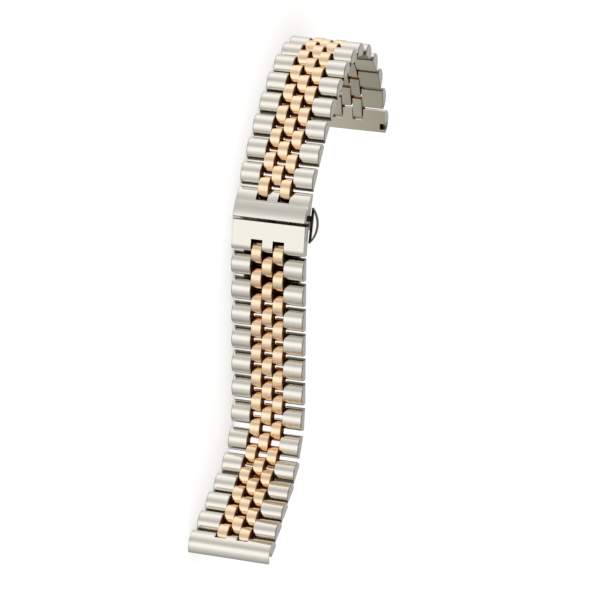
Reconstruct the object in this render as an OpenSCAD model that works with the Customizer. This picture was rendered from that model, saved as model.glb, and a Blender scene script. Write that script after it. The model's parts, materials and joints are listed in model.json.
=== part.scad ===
// Steel watch bracelet with rose-gold centre links and a single-fold clasp.
// It stands on its left edge: z runs across the strap, and the strap curves in the XY plane.
// Both strands start at the clasp. Steel rows and pairs of gold links alternate, half a pitch apart,
// and every row is hinged to the pair before it and to the pair after it by a pin.

/* [Links] */
// Distance from one steel row to the next
pitch = 6.6; // [6.4:0.1:7]
// Gap between two steel rows, measured at the inner face
row_gap = 0.85; // [0.8:0.05:1.1]
// Thickness of a link from its inner face to its crown
thickness = 3.4; // [3.3:0.05:3.7]
// Height of the pins above the inner face
pin_height = 1.35; // [1.3:0.01:1.45]
// Width of one gold link
gold_w = 2.55; // [2.3:0.05:2.7]
// Side gap between neighbouring links
side_gap = 0.16; // [0.13:0.01:0.2]

/* [Strap] */
// Width of the strap at the clasp
clasp_w = 18; // [17:0.5:19]
// Width of the strap at the end links
end_w = 20; // [19:0.5:21]
// Number of rows next to the clasp that keep its width
straight_rows = 8; // [6:1:10]
// Length of an end link along the strap
end_len = 6.1; // [5.8:0.1:6.4]

/* [Pins] */
// Radius of the link pins
pin_r = 0.5; // [0.4:0.02:0.52]
// Radial clearance of a link that turns on its pin
running_gap = 0.04; // [0.03:0.01:0.06]
// Radial clearance of a link that a pin is fixed in
fixed_gap = 0.03; // [0.02:0.01:0.04]
// Steel left between the end of a pin and the edge of the strap
pin_cover = 1.2; // [0.8:0.1:2]
// Radius of the bore for the bar that holds the strap to a case
bar_r = 0.85; // [0.75:0.05:0.9]
// Depth of the notch at each end of that bore
tool_notch_depth = 1.5; // [1:0.1:2]

/* [Covers] */
// Distance from the junction of the two clasp covers to their pins
cover_pin = 6.4; // [6.2:0.1:7]
// Gap between the two covers
junction_gap = 0.6; // [0.4:0.05:0.8]
// Thickness of the covers above their hollow
roof_t = 1; // [0.8:0.05:1.1]
// Thickness of the covers' side walls
wall_t = 0.9; // [0.7:0.05:1]
// Height of the upper cover's hump above the crown of the links
hump_rise = 0.6; // [0.4:0.1:0.9]
// Length of the hump from the junction
hump_len = 4.1; // [3.8:0.1:4.4]
// Radius of the lower cover's rounded edge
edge_r = 1.5; // [1:0.1:1.6]

/* [Blades] */
// Width of the blades
blade_w = 14; // [13:0.5:14]
// Thickness of each blade
blade_t = 0.7; // [0.6:0.05:0.8]
// Gap between the strap and the folding blade under it
blade_gap = 0.45; // [0.4:0.05:0.7]
// Length of the blades beyond the first gold pair
blade_len = 11.2; // [10:0.2:12]
// Distance from the junction to the cover hinge
cover_hinge_x = 2.6; // [2.4:0.1:2.8]
// Radius of the two hinge pins of the blades
hinge_pin_r = 0.38; // [0.3:0.02:0.4]
// Length of the sill that closes the junction of the covers from below
sill_len = 3.2; // [2.8:0.1:3.4]

/* [Pusher] */
// Length of the crescent button
button_len = 8.8; // [8:0.2:10]
// Height of the crescent above its flat side
button_rise = 1.7; // [1.4:0.1:2.2]
// Thickness of the button
button_t = 1.9; // [1.6:0.1:2.2]
// Gap between the button and the covers, which the stroke uses
button_gap = 0.7; // [0.6:0.05:0.9]
// Length of the pusher's spring
spring_len = 2.6; // [2.2:0.1:3]

/* [Pose] */
// Heading of the clasp, in degrees from the X axis
clasp_heading = 4.5; // [0:0.5:10]
// Tilt of each cover away from the clasp's heading
cover_tilt = 7.5; // [6:0.5:8]
// Extra bend of the first row on each strand
first_bend = 13; // [10:1:14]
// Bend from row to row along the upper strand
upper_bend = 3.8; // [3.4:0.1:4.2]
// Row at the crest of the upper strand
crest_row = 9.4; // [9:0.1:9.8]
// Extra bend at the crest
crest_bend = 16; // [14:0.5:17]
// Number of rows over which that bend fades
crest_spread = 5.4; // [5:0.1:5.8]
// Bend from row to row along the lower strand
lower_bend = 0; // [-1:0.25:0.5]
// Row where the lower strand bends outward
flick_row = 8.6; // [8:0.1:9.4]
// Outward bend there
flick_bend = 33.5; // [25:0.5:35]
// Number of rows over which that bend fades
flick_spread = 2.2; // [1.8:0.1:2.6]

/* [Hidden] */
$fn = 48;
// Steel rows on each strand; the gold pairs are one more
rows = 12;
// Small overlap of a cutter beyond the face that it opens
over = 1;
steel = "#d9d8d2";
gold = "#efcba4";

link_len = pitch - row_gap;
pin_x = pitch / 4;
pin_edge = link_len / 2 - pin_x;
crown = thickness - pin_height;
lane_z = gold_w + side_gap;
lane_w = gold_w + 2 * side_gap;
zone = lane_z + lane_w / 2;
pin_hole_r = pin_r + fixed_gap;
// Radius about a pin that the end of a gold link sweeps, with room to spare
sweep_r = norm([pin_edge, pin_height]) + 0.1;
// Play at the ends of a pin in its blind bores
pin_end_play = 0.05;

// Steel between the bar's bore and the end of an end link
bar_cover = 0.8;

cover_len = cover_pin + pin_edge;
notch_x = cover_pin - sweep_r;
hollow_x = notch_x - wall_t + 0.2;
roof_y = crown - roof_t;
tab_top = crown - 0.25;
tab_r = 5;
hump_r = 9;
hump_corner_r = 1.2;
// How much narrower the hump is than the cover, and how far its plate runs into the rounded tabs
hump_inset = 0.15;
tab_overlap = 0.5;

// Depths of the two blades below the pin line: folding blade first, fixed blade under it
fold_top = pin_height + blade_gap;
fold_base = fold_top + blade_t;
fixed_top = fold_base + 0.1;
fixed_base = fixed_top + blade_t;
hinge_hole_r = hinge_pin_r + fixed_gap;
hinge_bore_r = hinge_pin_r + running_gap;
blade_knuckle_r = (fixed_base - fold_top) / 2;
blade_knuckle_z = 3.4;
knuckle_gap = 0.1;
cover_knuckle_r = hinge_pin_r + 0.32;
lug_w = clasp_w / 2 - wall_t - blade_w / 2 - knuckle_gap;
sill_w = clasp_w - 0.4;

stem_x = [0.9, 2.3];
stem_y = [-0.9, 0.1];
stem_end = -1.7;
arm_w = 1;
arm_reach = 1.5;
arm_y = [-0.5, 0.1];
slide_gap = 0.06;
button_y = 0.4;
button_stroke = button_gap - 0.2;
button_r = (pow(button_len / 2, 2) + pow(button_rise, 2)) / (2 * button_rise);
catch_x = [0.9, 1.7];
catch_w = 1.6;
catch_gap = 0.1;
foot_t = 0.4;
foot_reach = 0.9;
// Flat spring of the pusher: wire, width of the strip, number of folds and play beside the stem
wire = 0.2;
strip_w = 0.8;
folds = 6;
spring_play = 0.05;
// Block of the frame round the pusher: steel beside the stem and under the spring
block_wall = 0.35;
block_x = hollow_x - 0.1;
// How far parts of one solid run into each other
joint_overlap = 0.1;
block_floor = 1.2;

// Directions along a strap part that has heading h, and outward from the wrist
function along(h) = [cos(h), sin(h)];
function outward(h) = [sin(h), -cos(h)];

// The strands are numbered s = -1, the upper one, and s = 1, the lower one.
// Row k bends by this much against row k - 1; row 0 is the cover and the last one the end link
function fade(k, row, spread) = max(0, 1 - abs(k - row) / spread);
function bend(s, k) = (k == 1 ? first_bend : 0) + (s < 0
    ? upper_bend + crest_bend * fade(k, crest_row, crest_spread)
    : lower_bend - flick_bend * fade(k, flick_row, flick_spread));
function heading(s, k) = k == 0 ? clasp_heading + s * cover_tilt : heading(s, k - 1) + s * bend(s, k);
function pair_heading(s, k) = heading(s, k) - s * bend(s, k) / 2;

// Pins on the plan, measured from the junction of the covers: the one before row k and the one after it
function pin_before(s, k) = pin_after(s, k - 1) + 2 * pin_x * s * along(pair_heading(s, k));
function pin_after(s, k) = k == 0
    ? cover_pin * s * along(heading(s, 0))
    : pin_before(s, k) + 2 * pin_x * s * along(heading(s, k));
function row_spot(s, k) = pin_before(s, k) + pin_x * s * along(heading(s, k));
function pair_spot(s, k) = pin_after(s, k - 1) + pin_x * s * along(pair_heading(s, k));
function end_spot(s) = pin_before(s, rows + 1) + (end_len / 2 - pin_edge) * s * along(heading(s, rows + 1));

function row_w(k) = clasp_w + (end_w - clasp_w) * max(0, k - straight_rows) / (rows + 1 - straight_rows);
function pair_z(k) = (row_w(k - 1) + row_w(k)) / 4;

// Middle of the whole strap on the plan, from the reach of every half-round link in four directions
units = [for (s = [-1, 1]) each concat(
    [for (k = [1:rows]) [row_spot(s, k), heading(s, k), link_len]],
    [for (k = [1:rows + 1]) [pair_spot(s, k), pair_heading(s, k), link_len]],
    [[end_spot(s), heading(s, rows + 1), end_len]])];
function unit_reach(unit, dir) = let (
    out = outward(unit[1]),
    r = unit[2] / 2,
    rise = crown - r)
    max([
        for (x = [-r, r], y = [-pin_height, rise]) (unit[0] + x * along(unit[1]) + y * out) * dir,
        out * dir < 0 ? (unit[0] + rise * out) * dir : (unit[0] + rise * out) * dir + r]);
function reach(dir) = max([for (unit = units) unit_reach(unit, dir)]);
middle = [reach([1, 0]) - reach([-1, 0]), reach([0, 1]) - reach([0, -1])] / 2;

// Points under the clasp at depth d below the pin line, on the plan
knee = (cover_pin + pin_x / cos(bend(1, 1) / 2)) * along(heading(1, 0));
function under_upper(x, d) = -x * along(heading(-1, 0)) - d * outward(heading(-1, 0));
function under_junction(d) = -d / cos(cover_tilt) * outward(clasp_heading);
function under_lower(x, d) = x * along(heading(1, 0)) - d * outward(heading(1, 0));
function under_knee(d) = knee - d / cos(bend(1, 1) / 2) * outward(pair_heading(1, 1));
function under_rows(x, d) = knee + x * along(heading(1, 1)) - d * outward(heading(1, 1));
cover_hinge = under_lower(cover_hinge_x, fold_base - cover_knuckle_r);
blade_hinge = under_rows(blade_len, (fold_base + fixed_top) / 2);

strands = [[-1, "upper"], [1, "lower"]];
function name(strand, kind, k) = str(strand[1], "_", kind, "_", k);

// Puts a piece on the plan. It is drawn with x away from the clasp, y outward and z across the strap
module placed(s, spot, h, z)
    translate([spot.x - middle.x, spot.y - middle.y, z])
        rotate([0, 0, h + 180])
            mirror([max(s, 0), 0, 0])
                children();

// Puts a shape that is drawn in plan measures, from z to z + h
module on_plan(z, h)
    translate([-middle.x, -middle.y, z])
        linear_extrude(h)
            children();

// A box between two corners
module box(from, to)
    translate(from)
        cube(to - from);

// Section of a link: flat inner face, short upright ends and a half-round crown
module half_round(len) {
    rise = crown - len / 2;
    translate([-len / 2, -pin_height])
        square([len, rise + pin_height]);
    intersection() {
        translate([0, rise])
            circle(r = len / 2);
        translate([-len / 2, rise])
            square(len);
    }
}

// Link pin in a part of width w; it ends blind inside the steel
module strap_pin(w)
    color(steel)
        cylinder(r = pin_r, h = w - 2 * pin_cover, center = true);

module strap_pin_hole(w)
    cylinder(r = pin_hole_r, h = w - 2 * (pin_cover - pin_end_play), center = true);

module gold_link(bore_r)
    color(gold)
        difference() {
            linear_extrude(gold_w, center = true)
                half_round(link_len);
            for (x = [-pin_x, pin_x])
                translate([x, 0, 0])
                    cylinder(r = bore_r, h = gold_w + over, center = true);
        }

module outer_link(w)
    color(steel)
        difference() {
            translate([0, 0, zone])
                linear_extrude(w / 2 - zone)
                    half_round(link_len);
            for (x = [-pin_x, pin_x])
                translate([x, 0, 0])
                    strap_pin_hole(w);
        }

// Two steel outer links and one gold link, held together by two pins
module strap_row(s, k) {
    w = row_w(k);
    placed(s, row_spot(s, k), heading(s, k), w / 2) {
        outer_link(w);
        mirror([0, 0, 1])
            outer_link(w);
        gold_link(pin_hole_r);
        for (x = [-pin_x, pin_x])
            translate([x, 0, 0])
                strap_pin(w);
    }
}

// Two gold links that turn on the pins of the rows before and after them
module gold_pair(s, k)
    placed(s, pair_spot(s, k), pair_heading(s, k), pair_z(k))
        for (z = [-lane_z, lane_z])
            translate([0, 0, z])
                gold_link(pin_r + running_gap);

// Room for the two gold links at the end of a cover or end link, from x0 to x1
module pair_notches(x0, x1)
    for (z = [-lane_z, lane_z])
        box([x0, -pin_height - over, z - lane_w / 2], [x1, crown + over, z + lane_w / 2]);

module end_link(s)
    placed(s, end_spot(s), heading(s, rows + 1), end_w / 2) {
        pin_at = pin_edge - end_len / 2;
        bar_x = end_len / 2 - bar_r - bar_cover;
        color(steel)
            difference() {
                linear_extrude(end_w, center = true)
                    half_round(end_len);
                pair_notches(-end_len / 2 - over, pin_at + sweep_r);
                translate([pin_at, 0, 0])
                    strap_pin_hole(end_w);
                translate([bar_x, 0, 0])
                    cylinder(r = bar_r, h = end_w + over, center = true);
                for (side = [0, 1])
                    mirror([0, 0, side])
                        box([bar_x - bar_r, -pin_height - over, end_w / 2 - tool_notch_depth],
                            [bar_x + bar_r, 0, end_w / 2 + over]);
            }
        translate([pin_at, 0, 0])
            strap_pin(end_w);
    }

// Keeps what lies on one side of the plane between the covers
module cut_at_junction()
    intersection() {
        children();
        rotate(cover_tilt)
            translate([junction_gap / 2, -cover_len])
                square(2 * cover_len);
    }

// Hollow, notches and pin hole of a cover
module cover_cuts() {
    z = clasp_w / 2 - wall_t;
    box([-over, -pin_height - over, -z], [hollow_x, roof_y, z]);
    pair_notches(notch_x, cover_len + over);
    translate([cover_pin, 0, 0])
        strap_pin_hole(clasp_w);
}

module upper_cover_section() {
    translate([-over, -pin_height])
        square([over + hump_len, tab_top + pin_height]);
    intersection() {
        translate([hump_len - tab_overlap, tab_top - tab_r])
            circle(r = tab_r);
        translate([0, -pin_height])
            square([cover_len, thickness]);
    }
}

// Raised plate next to the junction, with two rounded corners
module hump()
    intersection() {
        linear_extrude(clasp_w - 2 * hump_inset, center = true)
            cut_at_junction()
                intersection() {
                    translate([junction_gap, crown + hump_rise - hump_r])
                        circle(r = hump_r);
                    translate([-over, roof_y])
                        square([over + hump_len, crown]);
                }
        translate([0, 2 * crown, 0])
            rotate([90, 0, 0])
                linear_extrude(2 * crown) {
                    x = hump_len - hump_corner_r;
                    z = clasp_w / 2 - hump_corner_r;
                    translate([-over, -clasp_w / 2])
                        square([x + over, clasp_w]);
                    translate([0, -z])
                        square([hump_len, 2 * z]);
                    for (side = [-z, z])
                        translate([x, side])
                            circle(r = hump_corner_r);
                }
    }

module upper_cover()
    placed(-1, [0, 0], heading(-1, 0), clasp_w / 2) {
        color(steel)
            difference() {
                union() {
                    linear_extrude(clasp_w, center = true)
                        cut_at_junction()
                            upper_cover_section();
                    hump();
                }
                cover_cuts();
                rotate(cover_tilt)
                    stem(slide_gap);
            }
        translate([cover_pin, 0, 0])
            strap_pin(clasp_w);
    }

module lower_cover_section() {
    translate([-over, -pin_height])
        square([over + cover_len - edge_r, thickness]);
    translate([-over, -pin_height])
        square([over + cover_len, thickness - edge_r]);
    translate([cover_len - edge_r, crown - edge_r])
        circle(r = edge_r);
}

// Lug of the lower cover for the cover hinge, on one side
module cover_lug() {
    y = cover_knuckle_r - fold_base;
    translate([0, 0, blade_w / 2 + knuckle_gap])
        linear_extrude(lug_w)
            difference() {
                union() {
                    translate([cover_hinge_x, y])
                        circle(r = cover_knuckle_r);
                    translate([cover_hinge_x - cover_knuckle_r, y])
                        square([2 * cover_knuckle_r, roof_y - y]);
                }
                translate([cover_hinge_x, y])
                    circle(r = hinge_hole_r);
            }
}

// Catch of the lower cover: a post from the roof, with a foot that reaches towards the pusher's arm
module cover_catch() {
    foot_top = arm_y[0] - catch_gap;
    foot_z = stem_end + arm_w + catch_gap;
    post_z = foot_z + foot_reach;
    box([catch_x[0], foot_top - foot_t, post_z], [catch_x[1], roof_y, post_z + catch_w]);
    box([catch_x[0], foot_top - foot_t, foot_z], [catch_x[1], foot_top, post_z]);
}

module lower_cover()
    placed(1, [0, 0], heading(1, 0), clasp_w / 2) {
        color(steel) {
            difference() {
                linear_extrude(clasp_w, center = true)
                    cut_at_junction()
                        lower_cover_section();
                cover_cuts();
            }
            for (side = [0, 1])
                mirror([0, 0, side])
                    cover_lug();
            cover_catch();
        }
        translate([cover_pin, 0, 0])
            strap_pin(clasp_w);
    }

// Stem of the pusher with room g all round, drawn from the junction towards the upper cover
module stem(g)
    box([stem_x[0] - g, stem_y[0] - g, stem_end],
        [stem_x[1] + g, stem_y[1] + g, clasp_w / 2 + button_gap + joint_overlap]);

module pusher()
    placed(-1, [0, 0], clasp_heading, clasp_w / 2)
        color(steel) {
            stem(0);
            box([-arm_reach, arm_y[0], stem_end], [stem_x[0] + joint_overlap, arm_y[1], stem_end + arm_w]);
            translate([0, button_y, clasp_w / 2 + button_gap])
                rotate([90, 0, 0])
                    linear_extrude(button_t)
                        intersection() {
                            translate([0, button_rise - button_r])
                                circle(r = button_r, $fn = 96);
                            translate([-button_len, 0])
                                square(2 * button_len);
                        }
        }

// Flat spring that is folded to and fro between the frame and the stem
module pusher_spring()
    placed(-1, [0, 0], clasp_heading, clasp_w / 2)
        color(steel)
            translate([stem_x[0] + spring_play, (stem_y[0] + stem_y[1] + strip_w) / 2, stem_end - spring_len])
                rotate([90, 0, 0])
                    linear_extrude(strip_w) {
                        step = (spring_len - wire) / folds;
                        wide = stem_x[1] - stem_x[0] - 2 * spring_play;
                        for (i = [0:folds])
                            translate([0, i * step])
                                square([wide, wire]);
                        for (i = [0:folds - 1])
                            translate([(i % 2) * (wide - wire), i * step])
                                square([wire, step + wire]);
                    }

module plate(points_above, points_below)
    polygon(concat(points_above, [for (i = [len(points_below) - 1:-1:0]) points_below[i]]));

// Knuckle about a hinge point, from z0 to z1 on both sides of the middle
module knuckles(spot, r, z0, z1)
    for (side = [0, 1])
        translate([spot.x - middle.x, spot.y - middle.y, clasp_w / 2])
            mirror([0, 0, side])
                translate([0, 0, z0])
                    cylinder(r = r, h = z1 - z0);

// Frame of the clasp: a block under the upper cover that guides the pusher, the blade that runs on, and a
// wide sill under the junction of the covers
module fixed_blade()
    color(steel)
        difference() {
            union() {
                difference() {
                    on_plan((clasp_w - blade_w) / 2, blade_w)
                        plate(
                            [under_upper(block_x, fixed_top), under_junction(fixed_top),
                             under_knee(fixed_top), under_rows(blade_len, fixed_top)],
                            [under_upper(block_x, fixed_base), under_junction(fixed_base),
                             under_knee(fixed_base), under_rows(blade_len, fixed_base)]);
                    knuckles(blade_hinge, blade_knuckle_r + knuckle_gap, -over,
                        blade_knuckle_z + knuckle_gap);
                }
                knuckles(blade_hinge, blade_knuckle_r, blade_knuckle_z + knuckle_gap, blade_w / 2);
                on_plan((clasp_w - sill_w) / 2, sill_w)
                    plate(
                        [under_upper(sill_len / 2, fixed_top), under_junction(fixed_top),
                         under_lower(sill_len / 2, fixed_top)],
                        [under_upper(sill_len / 2, fixed_base), under_junction(fixed_base),
                         under_lower(sill_len / 2, fixed_base)]);
                placed(-1, [0, 0], heading(-1, 0), clasp_w / 2)
                    box([stem_x[0] - block_wall, -fixed_base, stem_end - spring_len - block_floor],
                        [block_x, roof_y, blade_w / 2]);
            }
            knuckles(blade_hinge, hinge_hole_r, -over, blade_w / 2 + over);
            placed(-1, [0, 0], clasp_heading, clasp_w / 2) {
                translate([0, 0, -spring_len])
                    stem(slide_gap);
                stem(slide_gap);
                box([-over, arm_y[0] - slide_gap, stem_end - button_stroke - slide_gap],
                    [stem_x[0], arm_y[1] + slide_gap, stem_end + arm_w + slide_gap]);
            }
        }

module folding_blade()
    color(steel)
        difference() {
            union() {
                difference() {
                    on_plan((clasp_w - blade_w) / 2, blade_w)
                        plate(
                            [under_lower(cover_hinge_x, fold_top), under_knee(fold_top),
                             under_rows(blade_len, fold_top)],
                            [under_lower(cover_hinge_x, fold_base), under_knee(fold_base),
                             under_rows(blade_len, fold_base)]);
                    knuckles(blade_hinge, blade_knuckle_r + knuckle_gap, blade_knuckle_z, blade_w / 2 + over);
                }
                knuckles(blade_hinge, blade_knuckle_r, 0, blade_knuckle_z);
                knuckles(cover_hinge, cover_knuckle_r, 0, blade_w / 2);
            }
            knuckles(blade_hinge, hinge_bore_r, -over, blade_w / 2 + over);
            knuckles(cover_hinge, hinge_bore_r, -over, blade_w / 2 + over);
        }

module blade_hinge_pin()
    color(steel)
        knuckles(blade_hinge, hinge_pin_r, 0, blade_w / 2);

module cover_hinge_pin()
    color(steel)
        knuckles(cover_hinge, hinge_pin_r, 0, clasp_w / 2 - wall_t);

for (strand = strands) {
    for (k = [1:rows])
        strap_row(strand[0], k);
    for (k = [1:rows + 1])
        gold_pair(strand[0], k);
    end_link(strand[0]);
}
upper_cover();
lower_cover();
fixed_blade();
folding_blade();
blade_hinge_pin();
cover_hinge_pin();
pusher();
pusher_spring();
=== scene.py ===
# %% [markdown]
# # A two-tone watch strap, standing on edge
# The strap is a chain. Steel rows and pairs of rose-gold links take turns, and a pin runs through every
# place where they meet. In the middle sits a folding clasp with a crescent-shaped button.
# The imported model gives us every piece at its real size, in metres, so we start by loading it. Nothing
# that we add may stand outside it.

# %% Load the imported model
import json
import bpy
import numpy as np
from mathutils import Matrix, Vector


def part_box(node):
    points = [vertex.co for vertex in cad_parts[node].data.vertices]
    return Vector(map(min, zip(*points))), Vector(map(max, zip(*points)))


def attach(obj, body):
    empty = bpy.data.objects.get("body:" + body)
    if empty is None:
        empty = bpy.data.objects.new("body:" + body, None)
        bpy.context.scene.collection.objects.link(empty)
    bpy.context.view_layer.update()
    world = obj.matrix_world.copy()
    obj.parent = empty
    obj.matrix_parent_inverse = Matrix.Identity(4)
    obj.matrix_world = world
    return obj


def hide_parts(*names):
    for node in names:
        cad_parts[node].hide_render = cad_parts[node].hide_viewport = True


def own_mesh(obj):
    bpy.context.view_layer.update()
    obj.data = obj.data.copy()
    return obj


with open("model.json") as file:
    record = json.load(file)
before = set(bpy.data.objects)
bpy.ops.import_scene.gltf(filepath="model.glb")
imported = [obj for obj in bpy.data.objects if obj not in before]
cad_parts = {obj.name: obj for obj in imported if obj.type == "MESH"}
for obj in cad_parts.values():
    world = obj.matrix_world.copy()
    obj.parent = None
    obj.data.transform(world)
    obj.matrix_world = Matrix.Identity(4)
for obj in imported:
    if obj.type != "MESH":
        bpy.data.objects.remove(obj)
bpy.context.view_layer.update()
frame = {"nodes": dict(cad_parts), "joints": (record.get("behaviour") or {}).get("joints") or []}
joints = {joint["name"]: joint for joint in frame["joints"]}
MM = 0.001

# %% [markdown]
# ## Adding nodes
# Each material is a small graph of nodes. One helper adds any kind of node with its settings and its
# links, so that the materials below read as lists. Colours are written as they look on a screen, and a
# second helper turns them to the values that the shaders reckon with.

# %% Helpers for node graphs
def add(tree, kind, settings=None, links=None):
    """Adds one node to a tree. settings holds its properties and the values of its inputs, links holds the
    output that feeds an input."""
    node = tree.nodes.new(kind)
    for name, value in (settings or {}).items():
        if isinstance(name, str) and hasattr(node, name):
            setattr(node, name, value)
        else:
            node.inputs[name].default_value = value
    for name, output in (links or {}).items():
        tree.links.new(output, node.inputs[name])
    return node


def linear(code):
    """A colour written as sRGB hex, turned to linear values: a straight line near black, and above it a
    power of 2.4."""
    part = np.array([int(code[i:i + 2], 16) for i in (1, 3, 5)]) / 255
    light = np.where(part <= 0.04045, part / 12.92, ((part + 0.055) / 1.055) ** 2.4)
    return (*light.tolist(), 1.0)


def new_material(name):
    """An empty node material and its tree."""
    material = bpy.data.materials.new(name)
    material.use_nodes = True
    material.node_tree.nodes.clear()
    return material, material.node_tree


print("a middle grey in linear values:", round(linear("#808080")[0], 3))

# %% [markdown]
# ## What makes metal look worked
# Every tool leaves lines on metal. Noise that is stretched along one direction draws them. Real polishing
# lines are a hundredth of a millimetre wide or less, too fine to show in the picture, so here they are
# drawn coarser: 0.1 mm wide where the steel is brushed, and up to 0.4 mm where it is polished. Some pieces
# have two finishes on one mesh, or painted shade on part of it. A mask tells them apart by the way that a
# face looks and by where it lies, so that the mesh needn't be cut up.

# %% Fine lines, and a mask for a second finish
SOFT_FACING = 0.04      # a mask fades in over this much of the cosine
SOFT_LIMIT = 0.1        # and over this many mm at a limit


def fine_lines(tree, place, line_mm, stretch):
    """Noise whose grains measure line_mm times stretch along each axis: the place is divided by that size
    before the noise is read."""
    scale = [1 / (line_mm * MM * times) for times in stretch]
    fine = add(tree, "ShaderNodeMapping", {"Scale": scale}, {"Vector": place})
    return add(tree, "ShaderNodeTexNoise", {"Scale": 1.0, "Detail": 3.0, "Roughness": 0.6},
               {"Vector": fine.outputs["Vector"]}).outputs["Fac"]


def side_mask(tree, place, look, nearer, past=None):
    """1 on faces that look along a direction, where the cosine between the two is at least nearer, else 0.
    past is a second direction and a limit in mm: all that lies further along it than that is 1 too."""
    facing = add(tree, "ShaderNodeVectorMath", {"operation": "DOT_PRODUCT", 1: look},
                 {0: add(tree, "ShaderNodeTexCoord").outputs["Normal"]})
    mask = add(tree, "ShaderNodeMapRange", {"From Min": nearer - SOFT_FACING, "From Max": nearer},
               {"Value": facing.outputs["Value"]}).outputs["Result"]
    if past is None:
        return mask
    direction, limit = past
    reach = add(tree, "ShaderNodeVectorMath", {"operation": "DOT_PRODUCT", 1: direction}, {0: place})
    beyond = add(tree, "ShaderNodeMapRange", {"From Min": (limit - SOFT_LIMIT) * MM, "From Max": limit * MM},
                 {"Value": reach.outputs["Value"]}).outputs["Result"]
    return add(tree, "ShaderNodeMath", {"operation": "MAXIMUM"}, {0: mask, 1: beyond}).outputs[0]


print("a mask's edge is", SOFT_LIMIT, "mm wide")

# %% [markdown]
# ## A metal
# Metal is a mirror with a colour. What tells one finish from another is how sharp the mirror is, so the
# roughness carries most of the detail: it changes along the fine lines, and by a few hundredths over some
# millimetres, as handling does. An ambient occlusion node paints shade into the colour: places that have
# metal close in front of them, narrow gaps most of all, turn darker.

# %% One function for every metal
SMUDGE = 0.03           # how far the roughness goes up and down
SMUDGE_MM = 4.5         # width of the patches that handling leaves
TINT = 0.03             # how far the lines lighten and darken the colour
DEEP, OPEN = 0.12, 0.6  # share of open sky in the deepest gaps, and where the painted shade ends
RELIEF = 0.5            # strength of the lines as a relief


def metal(name, colour, roughness, line_mm, stretch, line_height, gap_shade="#544C3F", gap_mm=1.3,
          edge="#FFFFFF", side=None):
    """A polished or brushed metal. line_mm times stretch is the size of its fine lines along each axis, and
    line_height their depth in mm. The gap colour is the painted shade that the deepest gaps take, and gap_mm
    how near other metal has to be for that. edge tints what is seen at a flat angle. side gives a second
    finish or a patch of painted shade: its colour, its roughness and what side_mask needs to know."""
    material, tree = new_material(name)
    place = add(tree, "ShaderNodeTexCoord").outputs["Object"]
    lines = fine_lines(tree, place, line_mm, stretch)
    wide = add(tree, "ShaderNodeTexNoise", {"Scale": 1 / (SMUDGE_MM * MM), "Detail": 2.0}, {"Vector": place})
    rough = add(tree, "ShaderNodeMapRange", {"To Min": roughness - SMUDGE, "To Max": roughness + SMUDGE},
                {"Value": wide.outputs["Fac"]})
    streak = add(tree, "ShaderNodeMapRange", {"To Min": -SMUDGE / 2, "To Max": SMUDGE / 2}, {"Value": lines})
    gloss = add(tree, "ShaderNodeMath", {"operation": "ADD"},
                {0: rough.outputs["Result"], 1: streak.outputs["Result"]})
    shade = add(tree, "ShaderNodeMapRange", {"To Min": 1 - TINT, "To Max": 1 + TINT}, {"Value": lines})
    tone = add(tree, "ShaderNodeMix", {"data_type": "RGBA", "blend_type": "MULTIPLY", "Factor": 1.0,
                                       6: linear(colour)}, {7: shade.outputs["Result"]})
    if side is not None:
        mask = side_mask(tree, place, side["look"], side["nearer"], side.get("past"))
        tone = add(tree, "ShaderNodeMix", {"data_type": "RGBA", 7: linear(side["colour"])},
                   {0: mask, 6: tone.outputs[2]})
        gloss = add(tree, "ShaderNodeMath", {"operation": "MULTIPLY_ADD", 1: side["roughness"] - roughness},
                    {0: mask, 2: gloss.outputs["Value"]})
    # Painted shade: where metal is close in front, the ambient occlusion pulls the colour towards the gap colour.
    sky = add(tree, "ShaderNodeAmbientOcclusion", {"samples": 8, "Distance": gap_mm * MM})
    unshaded = add(tree, "ShaderNodeMapRange", {"From Min": DEEP, "From Max": OPEN}, {"Value": sky.outputs["AO"]})
    gap_shaded = add(tree, "ShaderNodeMix", {"data_type": "RGBA", 6: linear(gap_shade)},
               {0: unshaded.outputs["Result"], 7: tone.outputs[2]})
    bump = add(tree, "ShaderNodeBump", {"Strength": RELIEF, "Distance": line_height * MM}, {"Height": lines})
    shader = add(tree, "ShaderNodeBsdfPrincipled", {"Metallic": 1.0, "Specular Tint": linear(edge)},
                 {"Base Color": gap_shaded.outputs[2], "Roughness": gloss.outputs["Value"],
                  "Normal": bump.outputs["Normal"]})
    add(tree, "ShaderNodeOutputMaterial", {}, {"Surface": shader.outputs["BSDF"]})
    return material


print("patches on the metal:", SMUDGE_MM, "mm wide")

# %% [markdown]
# ## The strap's metals
# Stainless steel such as 316L is a neutral, slightly warm grey mirror. The crowns of the links and the
# clasp's covers were polished with felt wheels, which leaves hair-fine lines. The inner faces and the
# blades were only brushed along the strap, which blurs and darkens what they mirror. The gold links carry
# a thin pale rose-gold plating over the same polish. The flanks, with which links face each other, are
# not polished at all, and their dark colour is painted shade. Side faces and pins only show deep between
# the lanes, and their brown is a painted reflection of the gold beside them and of the shade there.

# %% The metals' materials
# The third colour is nearly black painted shade, for the button's rim and the covers' junction.
STEEL, SATIN, SHADE_BLACK = "#DBD6CC", "#CBC5B2", "#1C1A18"


def polished(name, **finish):
    """Polished steel, with lines that run across the strap."""
    return metal(name, STEEL, 0.11, 0.12, (3, 3, 14), 0.002, **finish)


# A near mirror: it shows the room as crisp light and dark bands.
polished_steel = polished("polished_steel")
# Brushed along the strap: mirror images run together into an even, darker grey.
satin_steel = metal("satin_steel", SATIN, 0.30, 0.09, (12, 12, 1), 0.003)
# The blades' steel: greyer, and brushed a little deeper.
brushed_steel = metal("brushed_steel", "#B4B1AA", 0.27, 0.10, (12, 12, 1), 0.004)
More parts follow.
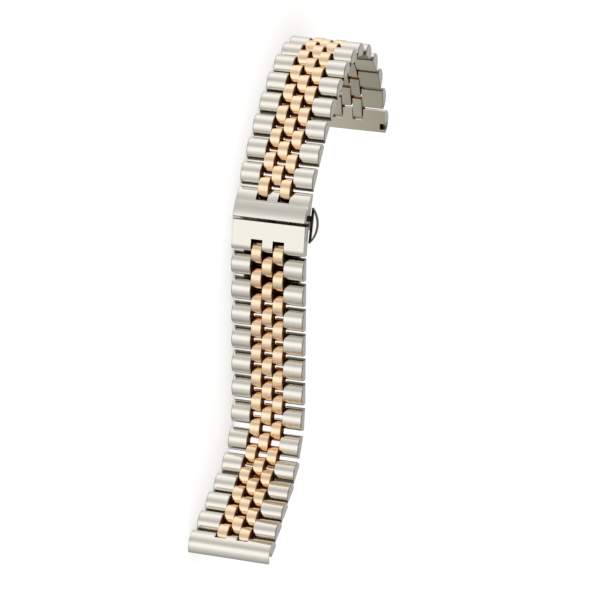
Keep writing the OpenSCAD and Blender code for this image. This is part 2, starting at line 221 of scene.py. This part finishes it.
# Plated over a polish: a mirror that warms what it shows, with copper-brown painted shade in its gaps.
rose_gold = metal("rose_gold_plate", "#F0D3B2", 0.12, 0.12, (3, 3, 10), 0.002, gap_shade="#5A3414")
# Unpolished flanks, dull; their dark colour is painted shade, which draws a line between two rows.
shaded_flank_steel = metal("shaded_flank_steel", "#7D7668", 0.32, 0.09, (3, 3, 12), 0.003)
shaded_flank_gold = metal("shaded_flank_gold", "#855A2C", 0.32, 0.09, (3, 3, 12), 0.003, gap_shade="#43280F")
# Side faces and pins: steel, painted brown. The brown is a painted reflection of the gold beside them and painted
# shade deep between the lanes, at flat angles too.
gap_reflection_brown = metal("gap_reflection_brown", "#B48244", 0.38, 0.09, (12, 3, 3), 0.003, gap_shade="#7A5226", edge="#A8783C")
# The button: polished in front, with painted shade on its rim and below 19.4 mm, where it slides into the cover.
shaded_rim_steel = polished("shaded_rim_steel", side={"look": (0, 0, 1), "nearer": 0.15, "colour": SHADE_BLACK,
                                                  "roughness": 0.22, "past": ((0, 0, -1), -19.4)})
print("materials:", [m.name for m in bpy.data.materials if m.use_nodes])

# %% [markdown]
# ## The section of a link
# Every link is a half-round bar: a flat face towards the wrist, two short upright ends and a round crown.
# Its section is worked out as one loop of points. Half of it is enough, because the other half is its
# mirror image, and each half has one pin bore. The loop runs round that bore, so that a ring of quads
# between the two closes the side face neatly.

# %% Half of a link's section
LINK = 5.75             # length of a link along the strap, in mm like all that follow
CROWN = 2.05            # from the pin line out to the top of the crown
BASE = 1.35             # from the pin line in to the flat face
PIN_X = 1.65            # from the link's middle to each pin
PIN_R = 0.5
CORNER = 0.22           # rounding between the flat face and the upright end
INNER_STEPS, CORNER_STEPS, CROWN_STEPS, MIDDLE_STEPS = 2, 3, 14, 4


def half_section(length, inset):
    """Points round the right half of a link's section, in mm from the pin line: out along the inner face,
    round its corner, up the end, over a quarter circle to the crown, and down the middle line. The
    circle's radius is half the link's length. Every outer edge is moved inwards by inset. The second
    result counts the points of the outer edge."""
    reach, low, centre = length / 2 - inset, inset - BASE, CROWN - length / 2
    face = np.linspace([0, low], [reach - CORNER, low], INNER_STEPS + 1)
    turn = np.radians(np.linspace(-90, 0, CORNER_STEPS + 1))[1:, None]
    corner = [reach - CORNER, low + CORNER] + CORNER * np.hstack([np.cos(turn), np.sin(turn)])
    turn = np.radians(np.linspace(0, 90, CROWN_STEPS + 1))[:, None]
    crown = [0, centre] + reach * np.hstack([np.cos(turn), np.sin(turn)])
    edge = np.vstack([face, corner, crown])
    middle = np.linspace(crown[-1], face[0], MIDDLE_STEPS + 1)[1:-1]
    return np.vstack([edge, middle]), len(edge)


print("points round half a section:", half_section(LINK, 0)[0].shape[0])

# %% [markdown]
# ## A link between its two side faces
# The section is carried across the strap. At each side face it shrinks a little in three steps, which
# gives the narrow rounded edge that catches the light. A Bevel could do that as well, but worked out here
# it costs only two rings of faces and can't spoil the bores. Gold links are bored right through. The
# outer steel links are bored from the inside only, so their outer faces stay plain.

# %% One link as vertices and faces
EDGE = 0.2              # width of the rounded edge round a side face
ON_ARC = 0.29           # 1 - cos 45 degrees: how far the middle of a quarter circle lies from its sides
FLANK_STEPS = 6         # the corner, the upright end and the first two steps of the crown
CLEAN, INNER, FLANK, SIDE = 0, 1, 2, 3


def ring_faces(first, second, count, closed=True):
    """Quads between two rings of points that are numbered alike. first and second are the rings' first
    numbers, and a closed ring also joins its last point to its first."""
    i = np.arange(count if closed else count - 1)
    j = (i + 1) % count
    return np.column_stack([first + i, first + j, second + j, second + i])


def link(length, z0, z1, bore_r, open_low=True, open_high=True, blind=0.0):
    """A link from z0 to z1: its points in mm, its quads, and the finish of each quad. Rings of the section
    are stacked along z: a side face is a ring of quads from the section's loop to the bore's circle, and the
    wall is the loop carried along. A side face that isn't open gets a disc in place of the bore, and blind
    is how deep the bore then ends below it. The half is mirrored in x, with its faces turned round."""
    rounding = [(0, EDGE), (ON_ARC * EDGE, ON_ARC * EDGE), (EDGE, 0)]
    levels = [(z0 + up, inset) for up, inset in rounding]
    levels += [(z1 - down, inset) for down, inset in reversed(rounding)]
    loops = [half_section(length, inset) for _, inset in levels]
    count, edge = len(loops[0][0]), loops[0][1]
    rings = [np.column_stack([loop, np.full(count, z)]) for (loop, _), (z, _) in zip(loops, levels)]
    turn = np.arctan2(loops[0][0][:, 1], loops[0][0][:, 0] - PIN_X)
    circle = [PIN_X, 0] + bore_r * np.column_stack([np.cos(turn), np.sin(turn)])
    bore_z = [z0, z0 if open_low else z0 + blind, z1 if open_high else z1 - blind, z1]
    points = np.vstack(rings + [np.column_stack([circle, np.full(count, z)]) for z in bore_z])

    *start, mouth_low, floor_low, floor_high, mouth_high = np.arange(len(levels) + len(bore_z)) * count
    band = np.repeat([INNER, FLANK, CLEAN], [INNER_STEPS, FLANK_STEPS, edge - 1 - INNER_STEPS - FLANK_STEPS])
    groups = [(ring_faces(here, above, edge, closed=False), band) for here, above in zip(start, start[1:])]
    groups += [(ring_faces(mouth_low, start[0], count), SIDE if open_low else CLEAN),
               (ring_faces(start[-1], mouth_high, count), SIDE if open_high else CLEAN),
               (ring_faces(floor_high, floor_low, count), SIDE)]
    discs = [] if open_low else [(mouth_low, False, CLEAN), (floor_low, True, SIDE)]
    discs += [] if open_high else [(mouth_high, True, CLEAN), (floor_high, False, SIDE)]
    for first, upwards, kind in discs:
        hub = np.full(count, len(points))
        points = np.vstack([points, [PIN_X, 0, points[first, 2]]])
        rim, following = first + np.arange(count), first + (np.arange(count) + 1) % count
        ends = [rim, following] if upwards else [following, rim]
        groups.append((np.column_stack([*ends, hub, hub]), kind))

    quads = np.vstack([faces for faces, _ in groups])
    finish = np.hstack([np.broadcast_to(kind, len(faces)) for faces, kind in groups])
    mirrored = quads[:, ::-1] + len(points)
    return np.vstack([points, points * [-1, 1, 1]]), np.vstack([quads, mirrored]), np.tile(finish, 2)


print("faces of a link that is bored through:", len(link(LINK, -1, 1, PIN_R)[1]))

# %% [markdown]
# ## A pin
# The pins are plain round steel rods. A cylinder from Blender's own list would do, but as arrays they go
# into the same mesh as the links that they hold.

# %% A pin as vertices and faces
def rod(radius, z0, z1, x, sides=16):
    """A pin at x from z0 to z1: two circles, the wall between them, and fans to the middle of each end."""
    turn = np.arange(sides) * 2 * np.pi / sides
    circle = np.column_stack([x + radius * np.cos(turn), radius * np.sin(turn)])
    ends = [np.column_stack([circle, np.full(sides, z)]) for z in (z0, z1)]
    points = np.vstack([*ends, [[x, 0, z0], [x, 0, z1]]])
    i, j = np.arange(sides), (np.arange(sides) + 1) % sides
    hub = np.full(sides, 2 * sides)
    faces = [ring_faces(0, sides, sides), np.column_stack([j, i, hub, hub]),
             np.column_stack([sides + i, sides + j, hub + 1, hub + 1])]
    return points, np.vstack(faces), np.full(3 * sides, SIDE)


print("faces of a pin:", len(rod(PIN_R, -1, 1, PIN_X)[1]))

# %% [markdown]
# ## From points to Blender objects
# The parts of one piece are stacked into one mesh. Points that coincide on the middle line are merged by
# rounding their places, triangles that were written as quads lose their double corner, and normals are
# weighted by area, so that flat faces stay flat beside their rounded edges.

# %% A helper that makes a piece
SAME_DIGITS = 4         # points whose places agree to 0.0001 mm are one


def make_piece(name, parts, placed, body, finishes, node):
    """A Blender object from several (points, quads, finish). placed turns local mm into metres on the strap,
    and finishes holds the materials of the crown, the inner face, the flanks and the side faces. A piece
    without a node is an addition, and replaces nothing."""
    shift = np.cumsum([0] + [len(part[0]) for part in parts])
    points = np.vstack([part[0] for part in parts])
    quads = np.vstack([part[1] + shift[i] for i, part in enumerate(parts)])
    finish = np.hstack([part[2] for part in parts])
    _, first, merged = np.unique(np.round(points, SAME_DIGITS), axis=0, return_index=True, return_inverse=True)
    quads = merged.reshape(-1)[quads]
    used, quads = np.unique(quads, return_inverse=True)
    quads = quads.reshape(-1, 4)
    faces = [tuple(dict.fromkeys(face)) for face in quads.tolist()]
    mesh = bpy.data.meshes.new(name)
    mesh.from_pydata(placed(points[first][used]).tolist(), [], faces)
    mesh.polygons.foreach_set("use_smooth", np.ones(len(faces), bool))
    for material in finishes:
        mesh.materials.append(material)
    mesh.polygons.foreach_set("material_index", finish)
    mesh.update()
    piece = bpy.data.objects.new(name, mesh)
    bpy.context.scene.collection.objects.link(piece)
    piece.modifiers.new("even_shading", "WEIGHTED_NORMAL").keep_sharp = True
    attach(piece, body)
    if node:
        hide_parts(node)
    return piece


print("points merge below", 10 ** -SAME_DIGITS, "mm")

# %% [markdown]
# ## Where each row sits
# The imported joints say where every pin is. A row lies between the pin of its own hinge and the pin of the
# next pair's hinge. The direction across those two pins, turned a quarter circle, points out of the
# strap, and that is all we need to place a link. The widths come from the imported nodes.

# %% Placing a piece by its pins
def pin_of(name):
    """Where the hinge of a row, pair or end link is, in metres."""
    return joints[f"{name}_hinge"]["pos_m"]


def across(node):
    """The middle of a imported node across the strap, in metres, and half its width, in mm."""
    low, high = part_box(node)
    return (low.z + high.z) / 2, (high.z - low.z) / MM / 2


def put_at(centre, side, outward):
    """A function that puts local points, in mm, on the strap, in metres. Local x runs along side, local y
    along outward and local z across the strap."""
    axes = np.array([[*side, 0], [*outward, 0], [0, 0, 1]])
    return lambda points: np.array(centre) + MM * points @ axes


def placing(first_pin, second_pin, turn, middle_z):
    """Puts a link midway between two pins. turn is 1 or -1, for the side of them on which outwards lies, and
    local x runs so that x, outward and z are right-handed."""
    first, second = np.array(first_pin[:2]), np.array(second_pin[:2])
    along = (second - first) / np.linalg.norm(second - first)
    outward = turn * np.array([along[1], -along[0]])
    return put_at([*(first + second) / 2, middle_z], [outward[1], -outward[0]], outward)


print("width of a row next to the clasp, in mm:", round(2 * across("upper_row_1")[1], 2))

# %% [markdown]
# ## A pair of gold links
# Two gold links stand side by side and turn freely on the pins of the rows before and behind them. So
# their bores are a little wider than the pins.

# %% A pair of gold links
GOLD = 2.55             # width of a gold link
LANE = 2.71             # from the strap's middle line to the middle of each gold link of a pair
LOOSE = PIN_R + 0.04    # bore of a link that turns on its pin
GOLD_FINISH = (rose_gold, satin_steel, shaded_flank_gold, gap_reflection_brown)


def gold_pair(side, k, turn, first_pin, second_pin):
    """The pair with number k on one strand, between two pins."""
    node = f"{side}_pair_{k}"
    golds = [link(LINK, z - GOLD / 2, z + GOLD / 2, LOOSE) for z in (-LANE, LANE)]
    put = placing(first_pin, second_pin, turn, across(node)[0])
    make_piece(f"{side}_gold_pair_{k}", golds, put, node, GOLD_FINISH, node)


print("space between the links of a pair, in mm:", round(2 * LANE - GOLD, 2))

# %% [markdown]
# ## A steel row
# A row has two outer steel links, a gold link in the middle and two pins, which end blind inside the outer
# links. Nothing in it moves. The gold link is a piece of its own, because it is another metal.

# %% A steel row
ZONE = 4.145            # from the strap's middle line to the outer links
PIN_COVER = 1.2         # steel over the ends of a pin
END_PLAY = 0.05         # room between a pin's end and the end of its bore
SNUG = PIN_R + 0.03     # bore of a link in which the pin doesn't turn
STEEL_FINISH = (polished_steel, satin_steel, shaded_flank_steel, gap_reflection_brown)


def steel_row(side, k, turn, first_pin, second_pin):
    """The row with number k on one strand, between two pins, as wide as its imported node."""
    node = f"{side}_row_{k}"
    middle_z, half = across(node)
    put = placing(first_pin, second_pin, turn, middle_z)
    depth = PIN_COVER - END_PLAY
    outer = [link(LINK, ZONE, half, SNUG, open_high=False, blind=depth),
             link(LINK, -half, -ZONE, SNUG, open_low=False, blind=depth)]
    pins = [rod(PIN_R, PIN_COVER - half, half - PIN_COVER, x) for x in (-PIN_X, PIN_X)]
    make_piece(f"{side}_steel_row_{k}", outer + pins, put, node, STEEL_FINISH, node)
    centre = [link(LINK, -GOLD / 2, GOLD / 2, SNUG)]
    make_piece(f"{side}_gold_centre_{k}", centre, put, node, GOLD_FINISH, node)


print("space between an outer link and a pair's lane, in mm:", round(ZONE - LANE - GOLD / 2, 2))

# %% [markdown]
# ## The two strands
# Both strands are counted from the clasp, and the last pair hangs on an end link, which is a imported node.
# Seen from above, one strand runs with the clock and the other against it, so outwards lies on opposite
# sides of their pins.

# %% Build the two strands
ROWS = 12
for side, turn in (("upper", -1), ("lower", 1)):
    for k in range(1, ROWS + 2):
        row_pin = pin_of(f"{side}_row_{k}" if k <= ROWS else f"{side}_end_link")
        gold_pair(side, k, turn, pin_of(f"{side}_pair_{k}"), row_pin)
        if k <= ROWS:
            steel_row(side, k, turn, row_pin, pin_of(f"{side}_pair_{k + 1}"))

# %% [markdown]
# ## Steels with two finishes
# The end links are polished outside and satin inside. The covers are polished, but the faces along which
# they meet look into a narrow dark gap, and so do the finest edges beside them, so there their colour is
# painted shade. Each of these pieces is one mesh, so its second finish, or its painted shade, is picked by
# the direction that a face looks in.

# %% End links and covers
CLASP_HEADING = 4.5     # degrees from +X: the strap's direction at the clasp
COVER_HEADING = -3.0    # the upper cover stands at a slight angle to it
COVER_PIN = 6.4         # from the upper cover's pin to the junction of the covers
JUNCTION_GAP = 0.6
JUNCTION_EDGE = 0.08    # width of the painted shade on each side of the gap


def heading_line(degrees):
    """The unit vector with this heading: its cosine along X, its sine along Y."""
    turn = np.radians(degrees)
    return np.array([np.cos(turn), np.sin(turn), 0.0])


def inner_side(degrees):
    """The direction in which a link's inner face looks: its heading, turned a quarter circle."""
    along = heading_line(degrees)
    return (-float(along[1]), float(along[0]), 0.0)


def half_satin(name, degrees):
    """Polished steel with a satin inner face."""
    return polished(name, gap_mm=2.0, side={"look": inner_side(degrees), "nearer": 0.9, "colour": SATIN,
                                            "roughness": 0.3})


def junction_steel(name, towards):
    """Polished steel with painted shade on the faces along which the two covers meet, and on the edges beside
    them. towards is 1 where these faces look along the clasp's heading, -1 where they look against it. The
    junction lies COVER_PIN from the first pin, and the painted shade starts half a gap and an edge before it."""
    look = towards * heading_line(CLASP_HEADING)
    junction = np.array(pin_of("upper_pair_1")) / MM + COVER_PIN * heading_line(COVER_HEADING)
    limit = float(junction @ look) - JUNCTION_GAP / 2 - JUNCTION_EDGE
    look = tuple(look.tolist())
    return polished(name, side={"look": look, "nearer": 0.6, "colour": SHADE_BLACK, "roughness": 0.35,
                                "past": (look, limit)})


print("the upper cover's heading, as a direction:", np.round(heading_line(COVER_HEADING), 3).tolist())

# %% [markdown]
# ## The clasp, the end links and the blades
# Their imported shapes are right, so the nodes stay. They are loose triangles, so a Weld joins them, a
# Decimate melts flat regions into single faces, a Bevel rounds the edges by up to a tenth of a millimetre,
# and weighted normals keep the flats flat. The button is held and pressed by a finger, so its rim is
# rounded by 0.8 mm.

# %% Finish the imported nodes
MERGE = 0.001 * MM      # corners nearer than this are one
FLAT = np.radians(0.5)  # faces that differ by less melt together
SHARP = np.radians(28)  # edges that turn by more are rounded
UPPER_END, LOWER_END = -148.956, -48.09     # headings of the two end links
FINISH = {              # each node's material, and how many mm its edges are rounded by
    "upper_cover": (junction_steel("upper_cover_steel", 1), 0.07),
    "lower_cover": (junction_steel("lower_cover_steel", -1), 0.07),
    "upper_end_link": (half_satin("upper_end_steel", UPPER_END), 0.1),
    "lower_end_link": (half_satin("lower_end_steel", LOWER_END), 0.1),
    "pusher": (shaded_rim_steel, 0.8),
    "fixed_blade": (brushed_steel, 0.08), "folding_blade": (brushed_steel, 0.08),
    "blade_hinge_pin": (brushed_steel, 0.05), "cover_hinge_pin": (brushed_steel, 0.05),
}
for name, (material, rounding) in FINISH.items():
    packed = frame["nodes"][name]
    for slot in packed.material_slots:
        slot.material = material
    packed.modifiers.new("join", "WELD").merge_threshold = MERGE
    melt = packed.modifiers.new("melt_flats", "DECIMATE")
    melt.decimate_type, melt.angle_limit = "DISSOLVE", FLAT
    soften = packed.modifiers.new("round_edges", "BEVEL")
    soften.width, soften.segments = rounding * MM, 3
    soften.limit_method, soften.angle_limit = "ANGLE", SHARP
    soften.use_clamp_overlap = True
    packed.modifiers.new("even_shading", "WEIGHTED_NORMAL").keep_sharp = True
print("finished nodes:", len(FINISH))

# %% [markdown]
# ## A sheet of painted shade in the upper cover's notches
# The first gold pair turns in two notches of the upper cover, and past the links' ends the notches lie in
# shade. A thin, nearly black sheet of painted shade stands in each of them. It is an arc about the pin, just
# outside the circle that the links' corners sweep.

# %% Sheets of painted shade in the notches
SHEET_R = 1.96            # the sheet's inner radius about the pin
SHEET_T = 0.2             # its thickness
SHEET_ARC = (181, 238)    # from where to where it runs, in degrees
SHEET_WIDTH = GOLD + 0.3  # a hair less than the notch
# Painted shade: a dull, nearly black steel that stands for the shade in the notches.
notch_shade_steel = metal("notch_shade_black", "#3A3630", 0.4, 0.10, (3, 3, 12), 0.004, gap_shade="#14110E")


def shade_sheet(middle, steps=12):
    """A sheet of painted shade across one notch: two arcs about the pin, one thickness apart, joined to a closed
    loop of points that is carried over the notch's width. Its two side faces are strips of quads between the
    arcs."""
    turn = np.radians(np.linspace(*SHEET_ARC, steps + 1))
    arc = np.column_stack([np.cos(turn), np.sin(turn)])
    loop = np.vstack([SHEET_R * arc, ((SHEET_R + SHEET_T) * arc)[::-1]])
    ends = [np.full(len(loop), middle + z) for z in (-SHEET_WIDTH / 2, SHEET_WIDTH / 2)]
    points = np.vstack([np.column_stack([loop, end]) for end in ends])
    i = np.arange(steps)
    j = 2 * steps + 1 - i
    low_side = np.column_stack([i, i + 1, j - 1, j])
    faces = np.vstack([ring_faces(len(loop), 0, len(loop)), low_side, low_side[:, ::-1] + len(loop)])
    return points, faces, np.zeros(len(faces), int)


put_shade_sheets = put_at([*pin_of("upper_pair_1")[:2], across("upper_pair_1")[0]], -heading_line(COVER_HEADING)[:2],
                  -np.array(inner_side(COVER_HEADING))[:2])
# Painted shade: two nearly black sheets, one in each notch.
make_piece("upper_cover_shade_sheets", [shade_sheet(-LANE), shade_sheet(LANE)], put_shade_sheets, "clasp_frame",
           (notch_shade_steel,), None)
print("the lips lie between", SHEET_R, "and", SHEET_R + SHEET_T, "mm from the pin")

# %% [markdown]
# ## The pusher's spring
# The spring is a thin strip, folded to and fro, that gives way when the button is pressed. A copy of its
# imported mesh, with a Weld, takes its place on the clasp's frame.

# %% The spring
strip = bpy.data.objects.new("pusher_spring_strip", frame["nodes"]["pusher_spring"].data.copy())
bpy.context.scene.collection.objects.link(strip)
strip.data.materials.clear()
strip.data.materials.append(brushed_steel)
strip.modifiers.new("join", "WELD").merge_threshold = MERGE
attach(strip, "clasp_frame")
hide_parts("pusher_spring")
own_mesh(strip)

# %% [markdown]
# ## The table
# The strap stands on a plain white table, a matt sheet with a fine grain. At a plain level of light white
# paper looks light grey, so the sheet glows a little, but only for rays that come from the camera, a mirror
# or glass: no light is added to the strap. The metal doesn't mirror the table, or its polished crowns would
# show nothing but the nearest centimetres of it.

# %% A white table
TABLE = 3.0             # half its side, in metres
GRAINS = 900.0          # per metre, so that one is about 1.1 mm wide
PAPER = (0.93, 0.96)    # how white the grains are
GLOW = 0.42


def seen_directly(tree):
    """1 where a ray comes from the camera, a mirror or glass, else 0."""
    kinds = add(tree, "ShaderNodeLightPath").outputs
    seen = add(tree, "ShaderNodeMath", {"operation": "ADD"},
               {0: kinds["Is Camera Ray"], 1: kinds["Is Glossy Ray"]})
    return add(tree, "ShaderNodeMath", {"operation": "ADD", "use_clamp": True},
               {0: seen.outputs[0], 1: kinds["Is Transmission Ray"]}).outputs[0]


white, tree = new_material("white_table")
grain = add(tree, "ShaderNodeTexNoise", {"Scale": GRAINS, "Detail": 2.0},
            {"Vector": add(tree, "ShaderNodeTexCoord").outputs["Object"]})
paper = add(tree, "ShaderNodeMapRange", {"To Min": PAPER[0], "To Max": PAPER[1]}, {"Value": grain.outputs["Fac"]})
matt = add(tree, "ShaderNodeBsdfDiffuse", {}, {"Color": paper.outputs["Result"]})
fill = add(tree, "ShaderNodeMath", {"operation": "MULTIPLY", 1: GLOW}, {0: seen_directly(tree)})
glow = add(tree, "ShaderNodeEmission", {"Color": (1, 1, 1, 1)}, {"Strength": fill.outputs[0]})
both = add(tree, "ShaderNodeAddShader", {}, {0: matt.outputs["BSDF"], 1: glow.outputs["Emission"]})
add(tree, "ShaderNodeOutputMaterial", {}, {"Surface": both.outputs["Shader"]})

sheet = bpy.data.meshes.new("table")
corners = [(x * TABLE, y * TABLE, 0) for x, y in ((-1, -1), (1, -1), (1, 1), (-1, 1))]
sheet.from_pydata(corners, [], [(0, 1, 2, 3)])
sheet.materials.append(white)
table = bpy.data.objects.new("table", sheet)
bpy.context.scene.collection.objects.link(table)
table.visible_glossy = False
print("the table is", 2 * TABLE, "m wide")

# %% [markdown]
# ## The room
# Polished metal shows its room rather than a colour of its own, so the bands on the crowns come from the
# room. A photographed one could be wrapped round the scene, but then its bands lie where they happen to.
# Here the walls are a ring of lighter and darker stretches, and dimmer with height, because each
# stretch can be matched to the band on the links that mirrors it. Only mirror rays see these walls. The
# camera sees plain white, and the soft light that comes from all sides is plain too.

# %% The white room
ROOM = [                # degrees round from the viewer's side, and how bright the wall is there
    (-180, 0.80), (-140, 0.82), (-112, 1.10), (-92, 1.38), (-72, 1.25), (-52, 0.92), (-32, 0.72), (-18, 0.85),
    (-5, 1.25), (8, 1.40), (24, 1.28), (44, 0.88), (70, 0.66), (90, 0.42), (112, 0.50), (140, 0.80), (180, 0.80)]
HEIGHTS = [(-0.12, 0.12, 0.66), (0.35, 0.6, 0.5)]   # sines of two heights, and the light left above them
PEAK = 1.5              # a ramp holds no more than 1, so its levels are divided by this
AROUND = 0.55           # level of the soft light


def grey(bright):
    """How bright a wall is, as the colour of a stop on the ramp."""
    return (bright / PEAK,) * 3 + (1,)


world = bpy.data.worlds.new("white_room")
bpy.context.scene.world = world
world.use_nodes = True
tree = world.node_tree
tree.nodes.clear()
sight = add(tree, "ShaderNodeSeparateXYZ", {}, {0: add(tree, "ShaderNodeTexCoord").outputs["Generated"]})
front = add(tree, "ShaderNodeMath", {"operation": "MULTIPLY", 1: -1.0}, {0: sight.outputs["Y"]})
angle = add(tree, "ShaderNodeMath", {"operation": "ARCTAN2"}, {0: sight.outputs["X"], 1: front.outputs[0]})
share = add(tree, "ShaderNodeMapRange", {"From Min": -np.pi, "From Max": np.pi}, {"Value": angle.outputs[0]})
walls = add(tree, "ShaderNodeValToRGB", {}, {"Fac": share.outputs["Result"]})
stops = walls.color_ramp.elements
stops[0].color = grey(ROOM[0][1])
stops[1].color = grey(ROOM[-1][1])
for degrees, bright in ROOM[1:-1]:
    stops.new((degrees + 180) / 360).color = grey(bright)
wall = add(tree, "ShaderNodeMath", {"operation": "MULTIPLY", 1: PEAK}, {0: walls.outputs["Color"]})
for start, end, left in HEIGHTS:
    above = add(tree, "ShaderNodeMapRange", {"From Min": start, "From Max": end, "To Min": 1.0, "To Max": left},
                {"Value": sight.outputs["Z"]})
    wall = add(tree, "ShaderNodeMath", {"operation": "MULTIPLY"}, {0: wall.outputs[0], 1: above.outputs[0]})
mirrored = add(tree, "ShaderNodeLightPath").outputs["Is Glossy Ray"]
plain = add(tree, "ShaderNodeMapRange", {"To Min": AROUND, "To Max": 1.0}, {"Value": seen_directly(tree)})
level = add(tree, "ShaderNodeMix", {}, {0: mirrored, 2: plain.outputs["Result"], 3: wall.outputs[0]})
back = add(tree, "ShaderNodeBackground", {"Color": (1, 1, 1, 1)}, {"Strength": level.outputs[0]})
add(tree, "ShaderNodeOutputWorld", {}, {"Surface": back.outputs["Background"]})
levels = [bright for _, bright in ROOM]
print("levels of the walls:", len(levels), "from", min(levels), "to", max(levels))

# %% [markdown]
# ## Lamps
# Two wide soft lamps, one low in front and one overhead, light the table and give the strap its faint
# shadow there. Metal has no matt share that they could light, and it doesn't mirror them, as the room's
# walls already hold the bright stretches that it shows.

# %% Two soft lamps
def soft_lamp(name, place, aim, width, height, radiance):
    """An area lamp that shines from place towards aim. radiance is how bright its face looks, so that its
    power is that times its area times pi."""
    lamp = bpy.data.lights.new(name, "AREA")
    lamp.shape, lamp.size, lamp.size_y = "RECTANGLE", width, height
    lamp.energy = radiance * width * height * np.pi
    light = bpy.data.objects.new(name, lamp)
    light.location = place
    light.rotation_euler = (Vector(aim) - Vector(place)).to_track_quat("-Z", "Y").to_euler()
    bpy.context.scene.collection.objects.link(light)
    light.visible_glossy = False
    print(name, "gives", round(lamp.energy, 2), "W")


soft_lamp("front_window", (0, -1.1, 0), (0, 0, 0), 0.9, 1.6, 0.6)
soft_lamp("top_light", (0.1, 0.1, 1.2), (0, 0, 0), 1.2, 1.2, 0.5)

# %% [markdown]
# ## Camera
# The picture was taken from a little above the table, with a long lens, and then turned on its side: the
# right edge of the picture is the real up. So the camera's own axes are written out as a matrix. Its
# columns are the directions of the picture's right edge, its upper edge and the view's back, and its place.

# %% Camera
eye = np.array([2.35, -628.53, 180.4]) * MM
target = np.array([1.58, 4.67, 10.0]) * MM
roll = np.radians(7.27)
ahead = (target - eye) / np.linalg.norm(target - eye)
level_right = np.cross(ahead, [0, 0, 1])
level_right /= np.linalg.norm(level_right)
level_up = np.cross(level_right, ahead)
picture_right = np.cos(roll) * level_up - np.sin(roll) * level_right
picture_up = -np.sin(roll) * level_up - np.cos(roll) * level_right
camera = bpy.data.objects.new("camera", bpy.data.cameras.new("camera"))
bpy.context.scene.collection.objects.link(camera)
rows = np.column_stack([picture_right, picture_up, -ahead, eye]).tolist()
camera.matrix_world = Matrix([*rows, [0, 0, 0, 1]])
camera.data.lens = 156.94
camera.data.sensor_width = 36
camera.data.clip_start, camera.data.clip_end = 0.05, 20
bpy.context.scene.camera = camera
bpy.context.scene.view_settings.view_transform = "Standard"
print("the camera stands", round(float(np.linalg.norm(target - eye)) / MM), "mm away")
